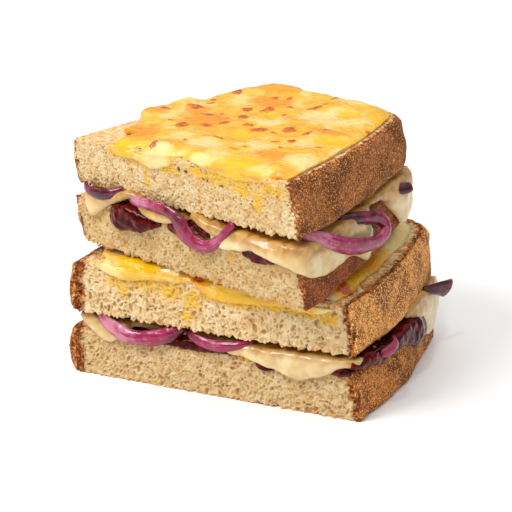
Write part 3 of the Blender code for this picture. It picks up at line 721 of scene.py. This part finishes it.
def cut_onion(name, width, thickness, knots):
    """A ribbed, slightly cupped band along its route, with rounded ends."""
    cad = slices["upper_bottom_bread" if name.startswith("upper") else "lower_bottom_bread"]
    facing = cad.sides[knots[0][0]][2]
    route = smooth_route([Vector((*cad.past(*knot[:4]), *knot[4:])) for knot in knots], BAND_STEP)
    points, faces, across, along, blush_and_shade = [], [], [], [], []
    last = len(route) - 1
    for i, knot in enumerate(route):
        middle = Vector(knot[:3])
        ahead = (Vector(route[min(i + 1, last)][:3]) - Vector(route[max(i - 1, 0)][:3])).normalized()
        wide = Matrix.Rotation(radians(knot[3]), 3, ahead) @ facing.cross(ahead).normalized()
        deep = ahead.cross(wide)
        way = i * BAND_STEP
        size = knot[4] * min(1.0, 0.3 + min(i, last - i) * BAND_STEP / ENDS_IN)
        size *= 1.0 + 0.10 * noise.noise(Vector((way / 4.0, width, 0.0)))
        for k in range(BAND_SIDES):
            angle = 2 * pi * k / BAND_SIDES
            rib = 1.0 + 0.14 * noise.noise(Vector((way / 9.0, 1.6 * cos(angle), 1.6 * sin(angle) + width)))
            side = cos(angle) * width / 2 * size
            depth = sin(angle) * thickness / 2 * size * rib - BAND_CUP * thickness * cos(angle) ** 2
            points.append(middle + wide * side * rib + deep * depth)
            across.append(k / BAND_SIDES)
            along.append(way)
            blush_and_shade.append(knot[5] - (0.25 if sin(angle) < 0.0 else 0.0))
        if i:
            start = (i - 1) * BAND_SIDES
            faces += [(start + k, start + (k + 1) % BAND_SIDES,
                       start + BAND_SIDES + (k + 1) % BAND_SIDES, start + BAND_SIDES + k)
                      for k in range(BAND_SIDES)]
    faces += [tuple(range(BAND_SIDES))[::-1],
              tuple(range(len(points) - BAND_SIDES, len(points)))]
    mesh = bpy.data.meshes.new(name)
    mesh.from_pydata([p * MM for p in points], [], faces)
    piece = bpy.data.objects.new(name + "_band", mesh)
    bpy.context.scene.collection.objects.link(piece)
    select_only(piece)
    bpy.ops.object.mode_set(mode="EDIT")
    bpy.ops.mesh.select_all(action="SELECT")
    bpy.ops.mesh.normals_make_consistent(inside=False)
    bpy.ops.object.mode_set(mode="OBJECT")
    bpy.ops.object.shade_smooth()
    paint(piece, "across", across)
    paint(piece, "along", along)
    paint(piece, "blush_and_shade", blush_and_shade)
    return piece


def onion_finish(name):
    """Fibres along the band, deep purple on the skin side and pink on the cut."""
    f = Finish(name, Roughness=0.12, Subsurface_Weight=0.25, Subsurface_Scale=0.0015)
    f.shader.inputs["Subsurface Radius"].default_value = (1.0, 0.3, 0.5)
    turn = f.math("MULTIPLY", f.layer("across"), 2 * pi)
    strand = f.node("ShaderNodeCombineXYZ", {
        0: f.math("MULTIPLY", f.layer("along"), 0.07), 1: f.math("MULTIPLY", f.math("COSINE", turn), 1.5),
        2: f.math("MULTIPLY", f.math("SINE", turn), 1.5)}).outputs[0]
    fibre = f.node("ShaderNodeTexNoise", {"Vector": strand, "Scale": 2.6, "Detail": 2.0}).outputs["Fac"]
    # The colour given along each band, with its painted shade where the ring runs under the slice above.
    tone = f.math("ADD", f.layer("blush_and_shade"), f.between(fibre, 0.3, 0.7, -0.13, 0.13))
    tone = f.math("ADD", tone, f.between(f.speckle(2.6), 0.35, 0.65, -0.12, 0.12))
    skin = f.mix(f.between(tone, 0.0, 0.5), shade(62, 6, 20), shade(148, 30, 74))
    skin = f.mix(f.between(tone, 0.5, 1.05), skin, shade(196, 122, 146))
    f.give(f.shader, {"Base Color": skin, "Normal": f.bump(fibre, 0.12)})
    return f.material


for name, (width, thickness, knots) in ONIONS.items():
    settle(cut_onion(name, width, thickness, knots), name, onion_finish(name))

# --- Toasted cheese ----------------------------------------------------------------------------
# Grated yellow cheese, grilled on top of each half until it bubbled. It has set in swells and pools
# with brown blisters, pale where it is thick, and its fat has soaked into the bread's cut edge.

# Hills are a, b, half width, half depth and height; spots of colour are a, b, half width, half depth.
TOASTED = {
    "upper_toasted_cheese": dict(
        bread="upper_top_bread", bare=2.2, lips=(
            ("cut", (16.6, 80.2, 81.2, -0.5, 0.5), (19.0, 78.2, 81.6, -0.1, 0.7),
             (22.0, 77.9, 81.9, 0.0, 0.8), (26.0, 78.6, 82.2, 0.1, 0.9), (30.0, 78.0, 82.4, 0.1, 0.9),
             (34.0, 77.2, 82.6, 0.2, 1.0), (38.0, 78.6, 82.8, 0.1, 0.9), (42.0, 80.8, 83.0, 0.0, 0.8),
             (46.0, 82.4, 83.4, -0.4, 0.5)),
            ("cut", (53.0, 82.6, 83.8, -0.5, 0.6), (57.0, 82.2, 84.2, -0.2, 0.8),
             (62.0, 81.8, 84.6, -0.2, 0.8), (68.0, 81.8, 84.8, -0.2, 0.8), (74.0, 82.6, 85.2, -0.3, 0.7),
             (80.0, 84.2, 85.6, -0.5, 0.5)),
        ),
        hills=((8, 28, 7, 6, 1.9), (10, 41, 6, 5, 2.2), (20, 60, 9, 5, 1.3), (32, 66, 10, 5, 2.4),
               (46, 70, 5, 4, 1.6), (60, 60, 9, 6, 0.7), (35, 3, 6, 4, 1.0), (55, 40, 9, 7, 0.6),
               (67, 56, 4, 4, -1.0), (49, 23, 5, 4, -0.7), (45, 43, 5, 4, -0.8),
               (77, 31, 6, 4, -0.6), (67, 4, 5, 4, -0.6), (80, 12, 6, 5, 0.5), (60, 71, 9, 4, 1.4)),
        brown=((19, 38, 2.5, 1.9), (27, 34, 2.1, 1.5), (27, 21, 2.0, 2.3), (34, 25, 1.8, 1.2),
               (38, 29, 1.4, 1.2), (22, 56, 1.1, 1.5), (19, 47, 1.4, 0.9), (20, 44, 1.1, 1.1),
               (13, 30, 1.3, 1.9), (32, 2, 1.1, 1.7), (45, 17, 1.7, 0.5), (21, 24, 1.4, 0.7),
               (31, 36, 0.8, 0.7), (56, 10, 1.7, 0.5), (38, 10, 0.6, 0.7), (45, 31, 1.1, 1.0),
               (53, 66, 0.6, 1.7), (55, 59, 1.1, 0.9), (54, 55, 1.4, 1.7), (53, 53, 1.0, 1.1),
               (57, 42, 0.7, 0.9), (36, 58, 1.4, 1.5), (40, 59, 0.8, 1.4), (46, 52, 1.3, 0.9),
               (41, 47, 1.9, 2.3), (49, 45, 1.1, 1.1), (35, 44, 1.6, 1.9), (46, 31, 1.3, 0.9),
               (39, 37, 1.6, 1.5), (52, 29, 2.6, 2.3), (60, 33, 2.2, 2.7), (67, 33, 1.3, 1.7),
               (58, 28, 1.3, 0.8), (70, 39, 1.0, 0.8), (80, 47, 1.6, 1.1), (68, 18, 1.4, 0.6),
               (58, 13, 1.3, 0.6), (67, 25, 1.3, 0.9), (63, 22, 1.0, 0.8), (78, 24, 1.3, 0.9)),
        yellow=((27, 11, 1.6, 1.6), (66, -3, 3.4, 3.0), (49, 23, 3.2, 3.0), (21, -1, 2.6, 3.3),
                (64, 3, 6.0, 3.4), (67, 56, 4.2, 3.6), (76, 57, 3.0, 2.8), (77, 31, 5.0, 3.4),
                (86, 32, 2.6, 3.8), (72, 43, 2.6, 1.5), (45, 43, 3.6, 3.2), (77, 18, 1.9, 2.0),
                (67, 4, 4.2, 3.0), (77, -4, 2.2, 3.0), (50, 25, 3.0, 2.0)),
        pale=((10, 41, 4.6, 3.6), (36, 0, 4.2, 3.2), (14, 49, 3.0, 2.2), (45, 11, 5.6, 4.0),
              (51, -1, 3.4, 4.0), (59, 49, 5.2, 4.2), (61, 68, 5.2, 4.0), (81, 12, 6.0, 4.0),
              (47, 72, 3.0, 2.2), (50, 36, 3.8, 2.0), (61, 18, 4.4, 2.6), (68, 71, 2.0, 2.4),
              (85, 26, 2.6, 3.0)),
        orange=((8, 28, 5.8, 4.0), (21, 37, 3.8, 4.0), (18, 10, 7.0, 6.7), (31, 65, 8.0, 5.3),
                (71, 12, 6.4, 3.0), (72, 38, 6.4, 1.8), (81, 0, 2.2, 2.3), (37, 55, 8.0, 4.6),
                (30, 30, 8.0, 6.0))),
    "lower_toasted_cheese": dict(
        bread="lower_top_bread", bare=4.2, lips=(
            ("cut", (10.5, 40.2, 41.6, -0.3, 0.7), (13.0, 38.8, 42.0, 0.0, 1.0),
             (16.0, 37.9, 42.4, 0.2, 1.2), (21.0, 37.2, 42.4, 0.3, 1.3), (26.0, 38.0, 42.2, 0.2, 1.2),
             (32.0, 38.8, 42.4, 0.2, 1.2), (39.0, 39.2, 42.0, 0.1, 1.0), (43.6, 40.2, 41.6, -0.2, 0.7)),
            ("cut", (43.0, 40.4, 41.8, -0.2, 0.7), (46.0, 38.2, 42.0, 0.1, 1.1),
             (49.0, 36.4, 41.8, 0.3, 1.3), (52.0, 35.5, 41.2, 0.2, 1.2), (56.0, 35.4, 41.0, 0.1, 1.1),
             (63.0, 36.0, 41.0, 0.1, 1.1), (70.0, 36.9, 40.9, 0.1, 1.0), (76.0, 37.3, 40.8, 0.1, 1.0),
             (83.0, 36.2, 40.8, 0.1, 1.0), (88.0, 38.0, 40.4, -0.2, 0.8))),
        hills=((20, 4, 8, 5, 0.5), (34, 3, 6, 4, 0.7), (93, 58, 5, 12, 0.9)),
        brown=((44, 1, 2.0, 1.6), (24, 7, 2.4, 1.2), (30, 9, 3.0, 1.0), (88, 8, 3.0, 3.0)),
        yellow=((22, 3, 8.0, 4.0), (30, 7, 6.0, 3.0), (56, 1, 10.0, 4.0), (70, 1, 8.0, 3.0),
                (92, 14, 4.0, 9.0)),
        pale=((13, 1, 5.0, 3.4), (34, 2, 5.0, 2.4), (86, 0, 4.0, 3.0), (94, 50, 6.0, 11.0),
              (92, 66, 7.0, 8.0)),
        orange=((44, 1, 4.0, 3.6), (52, 5, 8.0, 3.0), (90, 22, 2.0, 12.0))),
}


def pull_rim(piece, cad, bare):
    """Draws a layer's rim in from the crust, so that a margin of toasted bread shows round it."""
    points, _ = read_points(piece)
    pulled = []
    for p in points:
        spot, normal, _, _ = cad.crust.find_nearest(p)
        outwards = Vector((normal.x, normal.y, 0.0)).normalized()
        margin = bare * (1.0 + 0.4 * noise.noise(p / 9.0))
        pulled.append(p - outwards * max(0.0, (p - spot).dot(outwards) + margin))
    write_points(piece, pulled)


def toasted_finish(name):
    """Golden and cream cheese in clouds, with orange, yellow and pale patches and brown blisters."""
    f = Finish(name, Roughness=0.18, Subsurface_Weight=0.12, Subsurface_Scale=0.0015)
    f.shader.inputs["Subsurface Radius"].default_value = (1.0, 0.7, 0.3)
    golden = f.mix(f.between(f.speckle(4.0, 4.0), 0.35, 0.65), shade(228, 177, 50), shade(222, 161, 26))
    golden = f.mix(f.between(f.speckle(10.0, 5.0), 0.49, 0.64, 0.0, 0.7), golden, shade(226, 204, 132))
    colour = f.mix(f.math("MULTIPLY", f.layer("orange"), 0.95), golden, shade(222, 143, 14))
    colour = f.mix(f.math("MULTIPLY", f.layer("pale"), 0.85), colour, shade(226, 204, 134))
    colour = f.mix(f.layer("yellow"), colour, shade(226, 174, 6))
    freckle = f.between(f.speckle(1.4, 4.0), 0.56, 0.68, 0.0, 0.6)
    freckle = f.math("MULTIPLY", freckle, f.between(f.layer("orange"), 0.0, 1.0, 0.35, 1.0))
    colour = f.mix(freckle, colour, shade(200, 106, 14))
    browned = f.mix(f.between(f.speckle(0.9, 3.0), 0.42, 0.62), shade(198, 98, 14), shade(156, 66, 6))
    colour = f.mix(f.between(f.layer("brown"), 0.04, 0.4, 0.0, 0.85), colour, shade(208, 112, 16))
    colour = f.mix(f.between(f.layer("brown"), 0.4, 0.8), colour, browned)
    f.give(f.shader, {"Base Color": colour, "Normal": f.bump(f.speckle(1.2, 3.0), 0.3)})
    return f.material


RIM = 4.5               # the width over which the cheese thins out to its rim

for name, spec in TOASTED.items():
    cad = slices[spec["bread"]]
    piece = merged_copy(name, name + "_crust")
    pull_rim(piece, cad, spec["bare"])
    add_lips(piece, cad, spec["lips"])
    finish_with(piece, "REMESH", mode="VOXEL", voxel_size=0.45 * MM, use_smooth_shade=True)
    finish_with(piece, "SMOOTH", factor=0.5, iterations=6)
    thin_inside(piece, name, cad, ratio=0.45)
    points, normals = read_points(piece)
    moved = []
    layers = {kind: [] for kind in ("brown", "yellow", "pale", "orange")}
    for p, n in zip(points, normals):
        a, b = cad.on_top(p)
        wander = noise.noise_vector(p / 3.0)
        a, b = a + 1.3 * wander.x, b + 1.3 * wander.y
        from_rim = min(cad.crust.find_nearest(p)[3] - spec["bare"], b + 1.0)
        rise = sum(h * exp(-((a - x) / rx) ** 2 - ((b - y) / ry) ** 2)
                   for x, y, rx, ry, h in spec["hills"])
        brown = spots_at(spec["brown"], a, b)
        rise += 0.5 * brown + 0.4 * noise.noise(p / 7.0) + 0.2 * noise.noise(p / 2.2)
        rise += 0.12 * noise.noise(p / 0.9) * (0.3 + 2.0 * brown)
        up = smooth_step(0.1, 0.7, n.z)
        sunk = 1.0 - smooth_step(0.0, RIM, from_rim)
        q = p + UP * (up * (rise * smooth_step(0.0, 3.0, from_rim) - 1.0 * sunk) - 0.5 * sunk)
        q += n * 0.2 * noise.noise(p / 1.8) * (1.0 - up)
        moved.append(q)
        layers["brown"].append(smooth_step(0.0, 1.0, brown + 0.35 * noise.noise(p / 0.9)))
        for kind in ("yellow", "pale", "orange"):
            strength = spots_at(spec[kind], a, b, 1.2)
            layers[kind].append(smooth_step(0.15, 0.85, strength + 0.25 * noise.noise(p / 1.9)))
    write_points(piece, moved)
    for kind, values in layers.items():
        paint(piece, kind, values)
    settle(piece, name, toasted_finish(name))

# --- Studio ------------------------------------------------------------------------------------
# A white sweep of floor, one broad soft light from the upper left, and light from all round that is
# brightest overhead.

bpy.ops.object.select_all(action="DESELECT")
bpy.ops.mesh.primitive_plane_add(size=6.0, location=(0.0, 0.0, 0.0))
floor = bpy.context.object
floor.name = "studio_floor"
paper = Finish("studio_paper", Base_Color=(0.88, 0.88, 0.88, 1.0), Roughness=0.9)
floor.data.materials.append(paper.material)

world = bpy.data.worlds.new("studio")
bpy.context.scene.world = world
world.use_nodes = True
background = world.node_tree.nodes["Background"]
background.inputs["Color"].default_value = (1.0, 1.0, 1.0, 1.0)
around = world.node_tree.nodes.new("ShaderNodeTexCoord")
height = world.node_tree.nodes.new("ShaderNodeSeparateXYZ")
squared = world.node_tree.nodes.new("ShaderNodeMath")
squared.operation = "POWER"
squared.inputs[1].default_value = 2.0
brightness = world.node_tree.nodes.new("ShaderNodeMapRange")
brightness.inputs["To Min"].default_value = 0.28
brightness.inputs["To Max"].default_value = 1.6
world.node_tree.links.new(around.outputs["Generated"], height.inputs[0])
world.node_tree.links.new(height.outputs["Z"], squared.inputs[0])
world.node_tree.links.new(squared.outputs[0], brightness.inputs["Value"])
world.node_tree.links.new(brightness.outputs[0], background.inputs["Strength"])

middle = Vector((0.0034, -0.0109, 0.043))


def direction(azimuth, elevation):
    a, e = radians(azimuth), radians(elevation)
    return Vector((sin(a) * cos(e), -cos(a) * cos(e), sin(e)))


def aim(thing, azimuth, elevation, distance):
    thing.location = middle + direction(azimuth, elevation) * distance
    thing.rotation_euler = (middle - thing.location).to_track_quat("-Z", "Y").to_euler()


key = bpy.data.objects.new("key_light", bpy.data.lights.new("key_light", "AREA"))
key.data.shape = "DISK"
key.data.size = 0.45
key.data.energy = 7.0
bpy.context.scene.collection.objects.link(key)
aim(key, -40, 50, 1.0)

lamp = bpy.data.objects.new("small_light", bpy.data.lights.new("small_light", "AREA"))
lamp.data.shape = "DISK"
lamp.data.size = 0.06
lamp.data.energy = 0.7
bpy.context.scene.collection.objects.link(lamp)
aim(lamp, 5, 62, 0.8)

camera = bpy.data.objects.new("camera", bpy.data.cameras.new("camera"))
camera.data.lens = 150.0
camera.data.sensor_width = 36.0
camera.data.clip_start = 0.01
bpy.context.scene.collection.objects.link(camera)
aim(camera, 21.3, 24.0, 0.672)
bpy.context.scene.camera = camera
bpy.context.scene.view_settings.view_transform = "Standard"
